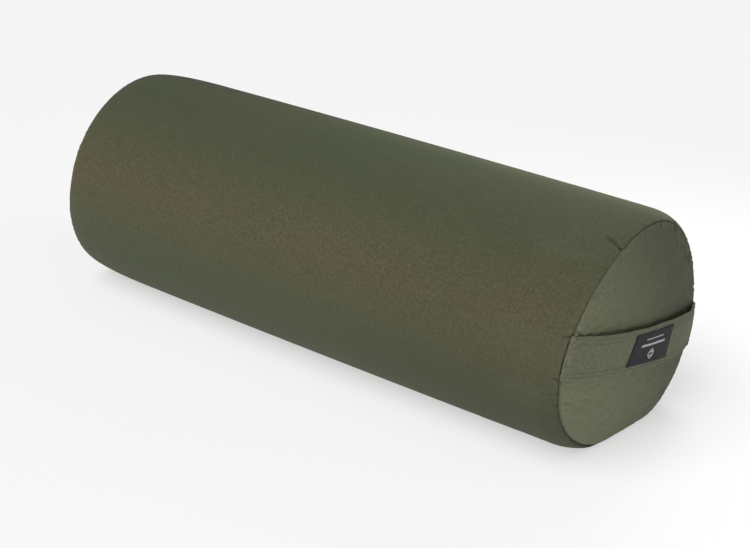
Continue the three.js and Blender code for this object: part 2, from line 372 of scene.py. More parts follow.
def tube_half(end, side, distance, angle, inset=0.0):
    """Points of one half of the tube, at distances over the cloth from its seam."""
    over, back, rise = shoulder_curve(end)
    from_seam = np.interp(distance, over, back) + np.maximum(distance - over[-1], 0)
    rise = np.interp(distance, over, rise)[:, None]
    seam_along, seam_radius = ring(end, side, angle)
    fade = np.clip(1 - (from_seam - end["shoulder"]) / SAG_REACH, 0, 1)[:, None]
    nominal = SEAM_X - from_seam
    radius = seam_radius + (tube_radius(nominal)[:, None] - seam_radius) * rise
    along = side * nominal[:, None] + (seam_along - side * SEAM_X) * fade
    return place(along - side * inset * fade, radius - inset, angle)


def tube_grid(rows, columns, inset=0.0):
    """The tube's points in rows from its rear seam to its front one, each row's distance from its seam, and
    how many rows belong to the rear half."""
    angle = full_turn(columns)
    rear, front = stations(REAR, **rows), stations(FRONT, **rows)
    points = [tube_half(REAR, -1, rear, angle, inset), tube_half(FRONT, 1, front, angle, inset)[::-1][1:]]
    return np.concatenate(points), np.concatenate([rear, front[::-1][1:]]), len(rear)


def disc_layout(cells, crowding=0.0):
    """A square grid bent into a unit disc: (places in the square, shares of the radius, angles)."""
    side = np.linspace(-1, 1, cells + 1)
    u, v = np.meshgrid(side, side, indexing="ij")
    wide = np.abs(u) >= np.abs(v)
    share = np.where(wide, u, v)
    safe = np.where(share == 0, 1, share)
    angle = np.where(wide, (math.pi / 4) * v / safe, math.pi / 2 - (math.pi / 4) * u / safe)
    angle = np.where(share < 0, angle + math.pi, angle)
    size = np.abs(share)
    stretch = 1 + crowding * (1 - size)
    return u * stretch, v * stretch, size * stretch, np.where(share == 0, 0, angle) % (2 * math.pi)


def disc_points(end, side, share, angle, inset=0.0):
    """Points of a domed end panel, at shares of its radius."""
    along, radius = ring(end, side, angle)
    rim = place(along - side * inset, radius - inset, angle)
    centre = np.array([MIDDLE_X + side * (SEAM_X - inset), 0, AXIS_HEIGHT])
    points = centre + (rim - centre) * share[..., None]
    points[..., 0] += side * DOME * (1 - share ** 2)
    return points


# ---------------------------------------------------------------- meshes
def make_object(name, points, faces, smooth=True):
    mesh = bpy.data.meshes.new(name)
    mesh.from_pydata(np.asarray(points, float).reshape(-1, 3).tolist(), [],
                     faces.tolist() if isinstance(faces, np.ndarray) else faces)
    mesh.update()
    mesh.polygons.foreach_set("use_smooth", [smooth] * len(mesh.polygons))
    return add_object(name, mesh)


def quads(corners):
    return np.stack([corner.ravel() for corner in corners], -1)


def grid_faces(rows, columns, wrap=False, flip=False):
    """Quads of a grid of points. Unless flipped, normals point along (column direction x row direction)."""
    index = np.arange(rows * columns).reshape(rows, columns)
    if wrap:
        index = np.concatenate([index, index[:, :1]], 1)
    corners = [index[:-1, :-1], index[:-1, 1:], index[1:, 1:], index[1:, :-1]]
    return quads(corners[::-1] if flip else corners)


def closed_tube_faces(rows, columns, flip=False):
    """Faces of a tube whose rows are its sections, with a cap at either end."""
    first = list(range(columns))
    last = list(range((rows - 1) * columns, rows * columns))
    caps = [first, last[::-1]] if flip else [first[::-1], last]
    return grid_faces(rows, columns, wrap=True, flip=flip).tolist() + caps


def rim_loop(number):
    """Point numbers round the rim of a grid."""
    return np.concatenate([number[:-1, 0], number[-1, :-1], number[:0:-1, -1], number[0, :0:-1]])


def grid_normals(points, wrap=False):
    across = np.gradient(points, axis=1)
    if wrap:
        across = (np.roll(points, -1, 1) - np.roll(points, 1, 1)) / 2
    return unit(np.cross(across, np.gradient(points, axis=0)))


def set_attributes(piece, **attributes):
    """Stores one number a vertex under each name, for the materials."""
    for name, values in attributes.items():
        data = piece.data.attributes.new(name, "FLOAT", "POINT")
        data.data.foreach_set("value", np.asarray(values, np.float32).ravel())


def set_uv(piece, u, v, period=None):
    """Sets the UV map, in metres, from a u and a v for each vertex. v may run round a girth of one period."""
    mesh = piece.data
    corner = np.empty(len(mesh.loops), np.int32)
    mesh.loops.foreach_get("vertex_index", corner)
    values = np.stack([np.ravel(u), np.ravel(v)], -1).astype(float)[corner]
    if period:
        start = np.empty(len(mesh.polygons), np.int32)
        mesh.polygons.foreach_get("loop_start", start)
        count = np.diff(np.append(start, len(corner)))
        face = np.repeat(np.arange(len(start)), count)
        highest = np.full(len(start), -1e9)
        np.maximum.at(highest, face, values[:, 1])
        values[:, 1] += period * (highest[face] - values[:, 1] > period / 2)
    layer = mesh.uv_layers.new(name="cloth")
    layer.data.foreach_set("uv", values.astype(np.float32).ravel())


def finish_piece(piece, body, material, stands_for=(), thickness=0.0):
    """Gives a piece its material and body, and cloth its thickness."""
    piece.data.materials.append(material)
    if thickness:
        solid = piece.modifiers.new("thickness", "SOLIDIFY")
        solid.thickness = thickness
        solid.offset = -1
    if body:
        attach(piece, body)
    if stands_for:
        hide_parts(*stands_for)
    return piece


# ---------------------------------------------------------------- cloth simulation of the cover's ends
def disc_indices(cells, columns, rim_start, first):
    """Vertex number of each point of a disc grid whose rim is a row of the tube, and the next free number."""
    share, angle = disc_layout(cells)[2:]
    rim = share > 1 - 1e-9
    index = np.where(rim, rim_start + np.round(angle / (2 * math.pi) * columns).astype(int) % columns, 0)
    index[~rim] = first + np.arange((~rim).sum())
    return index, rim


def cover_cloth(tube, distance):
    """The coarse cover as one cloth: (points, the larger shape it is cut to, faces, each disc's numbers)."""
    cells = SIM_COLUMNS // 4
    rows = len(tube)
    share, angle = disc_layout(cells)[2:]
    axis = np.array([0, 0, AXIS_HEIGHT])
    ease = 1 + EASE * np.exp(-distance / EASE_REACH)[:, None, None]
    points = [tube.reshape(-1, 3)]
    cut = [(tube * [1, 0, 0] + axis + (tube * [0, 1, 1] - axis) * ease).reshape(-1, 3)]
    faces = [grid_faces(rows, SIM_COLUMNS, wrap=True)]
    indices, start = [], rows * SIM_COLUMNS
    for end, side, rim_start in ((REAR, -1, 0), (FRONT, 1, (rows - 1) * SIM_COLUMNS)):
        disc = disc_points(end, side, share, angle)
        index, rim = disc_indices(cells, SIM_COLUMNS, rim_start, start)
        start += (~rim).sum()
        centre = disc[cells // 2, cells // 2]
        points.append(disc[~rim])
        cut.append(centre + (disc[~rim] - centre) * (1 + EASE))
        faces.append(quads([index[:-1, :-1], index[1:, :-1], index[1:, 1:], index[:-1, 1:]][::side]))
        indices.append(index)
    return np.concatenate(points), np.concatenate(cut), np.concatenate(faces), indices


def settle(model, pinned, cut):
    """Where the cloth's points come to rest."""
    group = model.vertex_groups.new(name="pinned")
    group.add(np.nonzero(pinned)[0].tolist(), 1.0, "REPLACE")
    model.shape_key_add(name="Basis")
    pattern = model.shape_key_add(name="cut")
    pattern.data.foreach_set("co", cut.astype(np.float32).ravel())
    cloth = model.modifiers.new("cloth", "CLOTH").settings
    cloth.quality = 6
    cloth.mass = 0.25
    cloth.tension_stiffness = 25
    cloth.compression_stiffness = 25
    cloth.shear_stiffness = 8
    cloth.bending_stiffness = 0.6
    cloth.air_damping = 3
    cloth.vertex_group_mass = "pinned"
    cloth.use_pressure = True
    cloth.uniform_pressure_force = PRESSURE
    cloth.effector_weights.gravity = 0
    cloth.rest_shape_key = pattern

    scene = bpy.context.scene
    for number in range(1, SIM_FRAMES + 1):
        scene.frame_set(number)
    evaluated = model.evaluated_get(bpy.context.evaluated_depsgraph_get())
    settled = np.empty(len(pinned) * 3, np.float32)
    evaluated.data.vertices.foreach_get("co", settled)
    scene.frame_set(1)
    bpy.data.objects.remove(model)
    return settled.reshape(-1, 3).astype(float)


def simulate_cover():
    """How stuffed cloth buckles round its seams, as moves from the smooth shape: (tube, rear, front)."""
    tube, distance, _ = tube_grid(SIM_ROWS, SIM_COLUMNS)
    rows = len(tube)
    points, cut, faces, indices = cover_cloth(tube, distance)
    fixed = np.zeros((rows, SIM_COLUMNS), bool)
    fixed[(distance > FINE_REACH) | (distance < 1e-9)] = True
    zip_column = ZIP_COLUMN * SIM_COLUMNS // COLUMNS
    fixed[:, zip_column - PINNED_BESIDE_ZIP:zip_column + PINNED_BESIDE_ZIP + 1] = True
    fixed[tube[..., 2] < PINNED_HEIGHT] = True
    pinned = np.zeros(len(points), bool)
    pinned[:fixed.size] = fixed.ravel()
    stirred = points + np.random.default_rng(11).normal(0, STIR, points.shape)
    stirred[pinned] = points[pinned]

    move = settle(make_object("cloth_model", stirred, faces), pinned, cut) - points
    size = np.linalg.norm(move, axis=-1, keepdims=True)
    move *= np.minimum(1, SIM_CAP / np.maximum(size, 1e-9))
    move[pinned] = 0
    tube_move = move[:rows * SIM_COLUMNS].reshape(rows, SIM_COLUMNS, 3)
    tube_move = tube_move - around_mean(tube_move, np.arange(rows)[:, None] + 0 * fixed, ~fixed)
    for _ in range(SMOOTHING):
        tube_move = (np.roll(tube_move, 1, 1) + 2 * tube_move + np.roll(tube_move, -1, 1)) / 4
        tube_move[1:-1] = (tube_move[:-2] + 2 * tube_move[1:-1] + tube_move[2:]) / 4
    tube_move[fixed] = 0
    cells = SIM_COLUMNS // 4
    square = np.maximum(*np.abs(np.indices((cells + 1, cells + 1)) - cells // 2))
    disc_moves = [move[index] - around_mean(move[index], square, square < cells // 2) for index in indices]
    return tube_move, *disc_moves


def around_mean(move, group, free):
    """The mean move of each ring of points, given at its free points."""
    counts = np.bincount(group[free].ravel(), minlength=group.max() + 1)
    means = np.stack([np.bincount(group[free].ravel(), move[..., k][free].ravel(), group.max() + 1)
                      for k in range(3)], -1) / np.maximum(counts, 1)[:, None]
    return means[group] * free[..., None]


def cubic_weights(part):
    return (-0.5 * part + part ** 2 - 0.5 * part ** 3,
            1 - 2.5 * part ** 2 + 1.5 * part ** 3,
            0.5 * part + 2 * part ** 2 - 1.5 * part ** 3,
            -0.5 * part ** 2 + 0.5 * part ** 3)


def sample(grid, row, column, wrap=False):
    """Smooth values of a grid at fractional rows and columns."""
    low_row, low_column = np.floor(row).astype(int), np.floor(column).astype(int)
    total = 0.0
    for i, row_weight in enumerate(cubic_weights(row - low_row)):
        near_row = np.clip(low_row + i - 1, 0, grid.shape[0] - 1)
        for j, column_weight in enumerate(cubic_weights(column - low_column)):
            near_column = low_column + j - 1
            near_column = near_column % grid.shape[1] if wrap else np.clip(near_column, 0, grid.shape[1] - 1)
            total = total + (row_weight * column_weight)[..., None] * grid[near_row, near_column]
    return total


# ---------------------------------------------------------------- detail added to the finished cloth
def radial(angle):
    """The way out from the bolster's axis at an angle."""
    return np.stack([0 * angle, np.cos(angle), np.sin(angle)], -1)


def seam_inward(side, angle):
    """The direction in which cloth turns in at an end seam: mostly along the bolster."""
    return -TURNING[1] * radial(angle) - np.array([side * TURNING[0], 0, 0])


def turned_in(edge, side, angle, apart):
    """The hidden end of a cloth that turns in at a seam, moved outwards to lie apart from the other cloth."""
    return edge + seam_inward(side, angle) * ALLOWANCE + radial(angle) * apart


def seam_pull(angle):
    """How tightly an end seam is drawn in: most where the strap's thick end is sewn into it."""
    turn = np.degrees(angle)
    return between(turn, *TIGHT_LOW_FRONT) + 0.8 * between(turn, *TIGHT_AT_STRAP)


def seam_wear_and_shade(distance, angle):
    """How much wear and painted shade the cloth gets at a distance from a seam, from 0 to 1: wear pales it
    beside the seam, and painted shade darkens the seam's groove.
    """
    return np.exp(-np.maximum(distance, 0) / (0.0028 + 0.0022 * seam_pull(angle)))


def seam_relief(distance, angle, side, seed):
    """Moves near an end seam: (groove along seam_inward, gathers along the normal)."""
    pull = seam_pull(angle)
    wander = 0.15 * smooth_noise(angle, seed + 2, 8, 8, 40)
    width = GROOVE_WIDTH * (0.75 + 0.5 * pull + wander)
    groove = GROOVE_DEPTH * (0.7 + 0.7 * pull + wander) * np.exp(-(distance / width) ** 2)
    fine = smooth_noise(angle, seed, 14, 60, 130)
    broad = smooth_noise(angle, seed + 1, 6, 3, 11)
    gathers = GATHER_HEIGHT * fine * (0.6 + 0.4 * broad)
    near = np.exp(-distance / GATHER_REACH) * (1 - np.exp(-distance / GROOVE_WIDTH))
    return groove[..., None] * seam_inward(side, angle), gathers * near


def lay_creases(creases, first, second):
    """Heights over a surface, and the painted shade in the creases' valleys, for creases placed by first and
    second, in metres.
    """
    height, crease_shade = np.zeros_like(first), np.zeros_like(first)
    ridge_height, ridge_place, ridge_width = CREASE_RIDGE
    for one, two, heading, half_run, half_width, depth in creases:
        turn = math.radians(heading)
        x, y = first - one, second - two
        along = x * math.cos(turn) + y * math.sin(turn)
        across = -x * math.sin(turn) + y * math.cos(turn)
        reach = depth * np.exp(-(along / half_run) ** 4)
        valley = bell(across, 0, half_width)
        ridges = bell(np.abs(across), ridge_place * half_width, ridge_width * half_width)
        height += reach * (ridge_height * ridges - valley)
        crease_shade = np.maximum(crease_shade, reach * valley / CREASE_SHUT)
    return height, np.minimum(crease_shade, 1) ** 0.25


# ---------------------------------------------------------------- the cover
def slit_rows(points):
    x = points[:, ZIP_COLUMN, 0] - ZIP_X
    inside = np.nonzero(np.abs(x) <= SLIT_HALF)[0]
    return inside[0], inside[-1]


def zip_point(x, across, out):
    """A point in the zip's plane: along the bolster, up across the zip, and out from the bolster's axis."""
    across, out = np.asarray(across), np.asarray(out)
    y = out * math.cos(ZIP_ANGLE) - across * math.sin(ZIP_ANGLE)
    z = AXIS_HEIGHT + out * math.sin(ZIP_ANGLE) + across * math.cos(ZIP_ANGLE)
    return np.stack(np.broadcast_arrays(x, y, z), -1)


def zip_parts(points):
    """A point's place across and out from the axis in the zip's plane."""
    y, z = points[..., 1], points[..., 2] - AXIS_HEIGHT
    across = -y * math.sin(ZIP_ANGLE) + z * math.cos(ZIP_ANGLE)
    return across, y * math.cos(ZIP_ANGLE) + z * math.sin(ZIP_ANGLE)


def warmth_of_tube(points, angle):
    """How far the cloth's olive leans to brown: a band of wear along the front, a little at the near end."""
    band = bell(np.degrees(angle), *WORN_BAND)
    near_end = ramp(points[..., 0], *WARM_NEAR_END)
    return np.clip(0.12 + 0.85 * band * (1 - 0.45 * near_end) + 0.3 * near_end, 0, 1)


def painted_light_of_tube(points, angle):
    """Painted light and shade on the tube, as a factor on its colour: lighter along its front and on top at
    the near end, darker on top at the far end and underneath.
    """
    turn = np.degrees(angle)
    top = between(turn, *TOP_BACK)
    low = between(turn, *UNDERSIDE)
    front = bell(turn, *PAINTED_LIGHT_FRONT)
    near_end = ramp(points[..., 0], *PAINTED_LIGHT_NEAR_END)
    top_change = 0.82 * ramp(points[..., 0], *PAINTED_LIGHT_TOP) - 0.42
    low_change = -0.07 - 0.17 * near_end
    return 0.93 + 0.14 * front * (1 - 0.35 * near_end) + top * top_change + low * low_change


def painted_light_of_panel(y, z):
    """The same painted light and shade for an end panel: lightest low on its front side, darker up towards
    its +Y side.
    """
    return 1.05 + 0.4 * np.tanh(-2.4 * (6.5 * y + 2.5 * z - 0.04))


def settled_tube(moves):
    """The tube's fine grid with the simulated moves laid on: (points, each row's distance and end)."""
    points, distance, rear_rows = tube_grid(ROWS, COLUMNS)
    side = np.where(np.arange(len(points)) < rear_rows, -1, 1)
    if moves is None:
        return points, distance, side
    coarse_distance, coarse_rear = tube_grid(SIM_ROWS, SIM_COLUMNS)[1:]
    coarse_side = np.where(np.arange(len(coarse_distance)) < coarse_rear, -1, 1)
    coarse, fine = (np.where(end < 0, run - half_length(REAR), half_length(FRONT) - run)
                    for run, end in ((coarse_distance, coarse_side), (distance, side)))
    row = np.interp(fine, coarse, np.arange(len(coarse)))[:, None]
    column = np.arange(COLUMNS) * SIM_COLUMNS / COLUMNS
    buckling = sample(moves, *np.broadcast_arrays(row, column), wrap=True)
    return points + buckling * np.where(side < 0, REAR_RUFFLE, 1.0)[:, None, None], distance, side


def tube_surface(moves):
    """The tube's finished grid between its hidden ends: (points, distance from a seam, painted shade in its
    creases).
    """
    points, distance, side = settled_tube(moves)
    angle = np.broadcast_to(full_turn(COLUMNS), points.shape[:2])
    normal = grid_normals(points, wrap=True)
    from_seam = np.broadcast_to(distance[:, None], angle.shape)
    creases = [(from_end, math.radians(turn) * RADIUS, *rest) for from_end, turn, *rest in TUBE_CREASES]
    height, crease_shade = lay_creases(creases, from_seam, angle * RADIUS)
    on_front = (side > 0)[:, None]
    height, crease_shade = height * on_front, crease_shade * on_front
    for sign in (-1, 1):
        rows = side == sign
        groove, gathers = seam_relief(from_seam[rows], angle[rows], sign, 21 + sign)
        points[rows] += groove
        height[rows] += gathers
    points += normal * np.where(points[..., 2] < RESTING_HEIGHT, 0, height)[..., None]
    rear_edge = turned_in(points[0], -1, angle[0], CANVAS)
    front_edge = turned_in(points[-1], 1, angle[0], CANVAS)
    points = np.concatenate([[rear_edge], points, [front_edge]])
    from_seam = np.pad(from_seam, ((1, 1), (0, 0)), constant_values=-ALLOWANCE)
    return points, from_seam, np.pad(crease_shade, ((1, 1), (0, 0)), "edge")


def cut_slit(points):
    """Cuts the zip's slit and turns a hem in round it: (vertices, faces, the slit's edge)."""
    first, last = slit_rows(points)
    left, right = ZIP_COLUMN - SLIT_COLUMNS, ZIP_COLUMN + SLIT_COLUMNS
    faces = grid_faces(len(points), COLUMNS, wrap=True)
    row, column = np.divmod(np.arange(len(faces)), COLUMNS)
    gone = (row >= first) & (row < last) & (column >= left) & (column < right)
    number = np.arange(len(points) * COLUMNS).reshape(-1, COLUMNS)
    edge = rim_loop(number[first:last + 1, left:right + 1])
    flat = points.reshape(-1, 3)
    x = flat[edge][:, 0] - ZIP_X
    across, out = zip_parts(flat[edge])
    vertices, faces, upper = [flat], [faces[~gone]], edge
    for narrowing, level in SLIT_HEM:
        lower = len(flat) + (len(vertices) - 1) * len(edge) + np.arange(len(edge))
        vertices.append(zip_point(ZIP_X + x * (1 - (1 - narrowing) * 0.02), across * narrowing,
                                  HEM_BOTTOM + (out - HEM_BOTTOM) * level))
        faces.append(quads([upper, np.roll(upper, -1), np.roll(lower, -1), lower]))
        upper = lower
    return np.concatenate(vertices), np.concatenate(faces), edge


def make_tube(moves, canvas):
    points, from_seam, crease_shade = tube_surface(moves)
    angle = np.broadcast_to(full_turn(COLUMNS), points.shape[:2])
    vertices, faces, edge = cut_slit(points)

    def with_hem(values):
        values = values.ravel()
        return np.concatenate([values, values[edge], values[edge]])

    tube = make_object("cover_tube", vertices, faces)
    set_uv(tube, with_hem(points[..., 0]), with_hem(angle * RADIUS), period=GIRTH)
    # The seam value pales the cloth from wear beside a seam and gives painted shade in the seam's groove, in
    # crease valleys and on the hem turned into the zip's slit; the fade value is painted light and shade.
    wear_and_shade = np.maximum(seam_wear_and_shade(from_seam, angle), crease_shade).ravel()
    set_attributes(tube, warmth=with_hem(warmth_of_tube(points, angle)),
                   fade=with_hem(painted_light_of_tube(points, angle)),
                   seam=np.concatenate([wear_and_shade, np.full(len(edge), 0.5), np.ones(len(edge))]))
    return finish_piece(tube, "root", canvas, ["cover_tube_panel"], CANVAS), points


def make_panel(name, node, end, side, moves, creases, canvas):
    cells = COLUMNS // 4
    u, v, share, angle = disc_layout(cells, RIM_CROWDING)
    points = disc_points(end, side, share, angle)
    if moves is not None:
        half = SIM_COLUMNS // 8
        points = points + sample(moves, half * (1 + u), half * (1 + v))
    normal = grid_normals(points) * -side
    from_rim = (1 - share) * SEAM_RADIUS
    groove, gathers = seam_relief(from_rim, angle, side, 41 + side)
    y, z = points[..., 1], points[..., 2] - AXIS_HEIGHT
    height, crease_shade = lay_creases(creases, y, z)
    points = points + groove + normal * (height + gathers)[..., None]

    number = np.arange((cells + 1) ** 2).reshape(cells + 1, cells + 1)
    rim = rim_loop(number)
    flat = points.reshape(-1, 3)
    hidden = turned_in(flat[rim], side, angle.ravel()[rim], -CANVAS)
    inner = len(flat) + np.arange(len(rim))
    strip = quads([rim, np.roll(rim, -1), np.roll(inner, -1), inner])
    faces = [grid_faces(cells + 1, cells + 1, flip=side > 0), strip if side < 0 else strip[:, ::-1]]
    panel = make_object(name, np.concatenate([flat, hidden]), np.concatenate(faces))

    def with_hidden(values, scale=1.0):
        values = values.ravel()
        return np.append(values, scale * values[rim])

    set_uv(panel, with_hidden(y, 1.03), with_hidden(z, 1.03))
    # The seam value pales the cloth from wear beside the seam and gives painted shade in its groove, on the
    # hidden turned-in rim and in crease valleys; the fade value is painted light and shade.
    wear_and_shade = np.maximum(seam_wear_and_shade(from_rim, angle), crease_shade).ravel()
    set_attributes(panel, warmth=np.full(len(flat) + len(rim), 0.3), fade=with_hidden(painted_light_of_panel(y, z)),
                   seam=np.append(wear_and_shade, np.ones(len(rim))))
    return finish_piece(panel, "root", canvas, [node], CANVAS)


# ---------------------------------------------------------------- stitches
def stitches(name, parts, width, material, body):
    """Small rounded stitches in one mesh. A part is (centres, directions, ways up, lengths)."""
    centres, along, out, lengths = joined(parts)
    turns = np.linspace(-1, 1, 7) * math.pi / 2
    ends = 0.5 * np.sin(turns)
    girth = 0.5 * np.maximum(np.cos(turns), 0.12) ** 0.6
    around = full_turn(6)
    along = unit(along)
    sideways = unit(np.cross(out, along))
    up = np.cross(along, sideways)
    stitch_faces = closed_tube_faces(len(turns), len(around))
    points, faces = [], []
    for i, centre in enumerate(centres):
        section = sideways[i] * np.cos(around)[:, None] + 0.7 * up[i] * np.sin(around)[:, None]
        middles = centre + along[i] * (ends * lengths[i])[:, None, None]
        rings = middles + (girth * width)[:, None, None] * section
        first = i * rings.shape[0] * rings.shape[1]
        points.append(rings.reshape(-1, 3))
        faces += [[first + corner for corner in face] for face in stitch_faces]
    return finish_piece(make_object(name, np.concatenate(points), faces), body, material)


# ---------------------------------------------------------------- the strap and its label
def panel_front(y, z):
    """How far the front panel stands ahead of the middle of its seam."""
    angle = np.arctan2(z, y)
    along, radius = ring(FRONT, 1, angle)
    share = np.hypot(y, z) / radius
    return (along - SEAM_X) * share + DOME * (1 - share ** 2)


def strap_place(along, across):
    """(y, z) over the panel's middle of a place along the strap, towards +Y, and across it, upwards."""
    across = across + STRAP_OFFSET
    y = along * math.cos(STRAP_TILT) + across * math.sin(STRAP_TILT)
    return y, across * math.cos(STRAP_TILT) - along * math.sin(STRAP_TILT)


def strap_reach(across, sign):
    """Distance along the strap from its middle to the seam."""
    reach = np.full_like(across, SEAM_RADIUS)
    for _ in range(12):
        y, z = strap_place(sign * reach, across)
        radius = ring(FRONT, 1, np.arctan2(z, y))[1]
        reach = np.sqrt(np.maximum(radius ** 2 - (across + STRAP_OFFSET) ** 2, 0))
    return reach


def strap_surface(share, across):
    """Points of the strap's underside, at a share of its reach (-1 to 1) and a distance across it."""
    share, across = np.broadcast_arrays(share, across)
    reach = np.where(share < 0, strap_reach(across, -1), strap_reach(across, 1))
    along = share * reach
    y, z = strap_place(along, across)
    low = panel_front(*strap_place(along, np.full_like(across, -STRAP_HALF)))
    high = panel_front(*strap_place(along, np.full_like(across, STRAP_HALF)))
    up = (across / STRAP_HALF + 1) / 2
    mixed = low + (high - low) * up
    from_end = 1 - np.abs(share)
    taut = smoothstep(from_end / STRAP_TAUT)
    flat = panel_front(y, z) * (1 - taut) + mixed * taut
    gape = STRAP_GAPE * (1 + smoothstep(share)) * up
    gap = STRAP_GAP + smoothstep(from_end / STRAP_RISE) * (STRAP_LIFT + gape)
    tuck = STRAP_TUCK[0] * bell(from_end * reach, 0, STRAP_TUCK[1])
    return np.stack([MIDDLE_X + SEAM_X + flat + gap - tuck, y, AXIS_HEIGHT + z], -1)


def strap_outside(share, across, height):
    """Points at a height over the strap's underside, and the way out from it."""
    step = 1e-3
    base = strap_surface(share, across)
    ahead = strap_surface(share + step, across) - strap_surface(share - step, across)
    upwards = strap_surface(share, across + step) - strap_surface(share, across - step)
    normal = unit(np.cross(ahead, upwards))
    return base + normal * np.asarray(height)[..., None], normal


def strap_section():
    """(across, height) round the strap's section, with dips where its stitches pull it down."""
    edge = STRAP_THICKNESS / 2
    wide = np.arange(-STRAP_HALF + edge, STRAP_HALF - edge + 1e-6, 0.0007)
    top = np.full_like(wide, STRAP_THICKNESS)
    for row in STITCH_ROWS:
        for sign in (-1, 1):
            top -= 0.0005 * bell(wide, sign * (STRAP_HALF - row), 0.0009)
    bend = np.linspace(math.pi / 2, -math.pi / 2, 7)[1:-1]
    near = np.stack([STRAP_HALF - edge + edge * np.cos(bend), edge + edge * np.sin(bend)], -1)
    under = np.stack([wide[::-1][::4], 0 * wide[::-1][::4]], -1)
    far = near[::-1] * [-1, 1]
    return np.concatenate([np.stack([wide, top], -1), near, under, far])


def make_strap_half(name, sign, canvas):
    section = strap_section()
    share = sign * np.concatenate([np.linspace(0, 0.94, 62), np.linspace(0.944, 1, 15)])[:, None]
    across, height = section[None, :, 0], section[None, :, 1]
    wander = 0.00025 * smooth_noise(share * 3, 5, 8, 2, 9)
    puff = 0.00012 * smooth_noise(share * 9 + across * 60, 8, 10, 2, 12) * (height > 0.5 * STRAP_THICKNESS)
    points, _ = strap_outside(share + 0 * across, across + wander, height + puff)
    rows, columns = points.shape[:2]
    faces = grid_faces(rows, columns, wrap=True, flip=sign > 0)
    strap = make_object(name, points, faces)
    # Each half is one closed body: a cap at its cut end under the label, and one at its sewn end.
    body = bmesh.new()
    body.from_mesh(strap.data)
    for cap in bmesh.ops.holes_fill(body, edges=[e for e in body.edges if e.is_boundary])["faces"]:
        cap.smooth = False
        for cap_edge in cap.edges:
            cap_edge.smooth = False
    bmesh.ops.recalc_face_normals(body, faces=body.faces)
    body.to_mesh(strap.data)
    body.free()
    turn = np.concatenate([[0], np.cumsum(np.linalg.norm(np.diff(section, axis=0), axis=1))])
    set_uv(strap, *np.broadcast_arrays(share * SEAM_RADIUS, turn), period=turn[-1])
    # Near its sewn ends the strap gets painted shade, as in the seam's groove; along its long edges it is
    # paler from wear.
    edge = np.exp(-np.maximum(STRAP_HALF - np.abs(across), 0) / 0.0012) + 0 * share
    seam = np.exp(-(1 - np.abs(share)) * SEAM_RADIUS / 0.003) + 0 * across
    set_attributes(strap, warmth=np.full(rows * columns, 0.8), fade=np.ones(rows * columns),
                   seam=np.maximum(0.5 * edge, seam))
    return finish_piece(strap, None, canvas)


def blend_onto_strap(piece):
    """Bakes a piece's placement into its mesh."""
    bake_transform(piece)


def strap_stitches(name, sign, thread):
    parts = []
    pitch = 0.0031 / SEAM_RADIUS
    share = sign * np.arange(0.5 * pitch, 0.975, pitch)
    length = np.full_like(share, 0.0026)
    for row in STITCH_ROWS:
        for edge in (-1, 1):
            across = np.full_like(share, edge * (STRAP_HALF - row))
            point, normal = strap_outside(share, across, np.full_like(share, STRAP_THICKNESS - 0.00035))
            ahead = strap_surface(share + 1e-3, across) - strap_surface(share - 1e-3, across)
            parts.append((point, ahead, normal, length))
    return stitches(name, parts, 0.00078, thread, None)


def label_point(u, v, height):
    """A point over the label, u and v from -1 to 1 along and up it."""
    share = np.asarray(u) * LABEL_HALF[0] / SEAM_RADIUS
    across = LABEL_RISE + np.asarray(v) * LABEL_HALF[1]
    return strap_outside(*np.broadcast_arrays(share, across, STRAP_THICKNESS + np.asarray(height)))


def make_label(satin):
    """The woven label: a thin folded cloth slab, rounded at its edges, lifting a little at its corners."""
    u = np.sin(np.linspace(-1, 1, 71) * math.pi / 2)[:, None]
    v = np.sin(np.linspace(-1, 1, 41) * math.pi / 2)[None, :]
    u, v = np.broadcast_arrays(np.sign(u) * np.abs(u) ** 0.7, np.sign(v) * np.abs(v) ** 0.7)
    edge = np.minimum((1 - np.abs(u)) * LABEL_HALF[0], (1 - np.abs(v)) * LABEL_HALF[1])
    swell = 1 - np.exp(-edge / 0.0005)
    stitched = bell(edge, LABEL_STITCH_INSET, 0.0005)
    corner = 0.0005 * (np.abs(u) * np.abs(v)) ** 6
    lift = LABEL_THICKNESS * (0.35 + 0.65 * swell) - 0.00022 * stitched + corner
    top, _ = label_point(u, v, lift)
    bottom, _ = label_point(u, v, np.full_like(u, 0.00006) + corner)
    rows, columns = u.shape
    offset = rows * columns
    rim = rim_loop(np.arange(offset).reshape(rows, columns))
    after = np.roll(rim, -1)
    faces = np.concatenate([grid_faces(rows, columns, flip=True), grid_faces(rows, columns) + offset,
                            quads([rim, after, after + offset, rim + offset])])
    label = make_object("handle_label_cloth", [top, bottom], faces)
    set_uv(label, [u * LABEL_HALF[0]] * 2, [v * LABEL_HALF[1]] * 2)
    return finish_piece(label, "handle", satin, ["handle_label"])


def label_stitches(x, y, run_x, run_y, height, lengths):
    """Stitches at places on the label, in metres from its middle, that run in a direction: one part."""
    x, y, height, lengths = np.broadcast_arrays(x, y, height, lengths)
    centre, out = label_point(x / LABEL_HALF[0], y / LABEL_HALF[1], height)
    tip, _ = label_point((x + run_x) / LABEL_HALF[0], (y + run_y) / LABEL_HALF[1], height)
    return centre, tip - centre, out, lengths


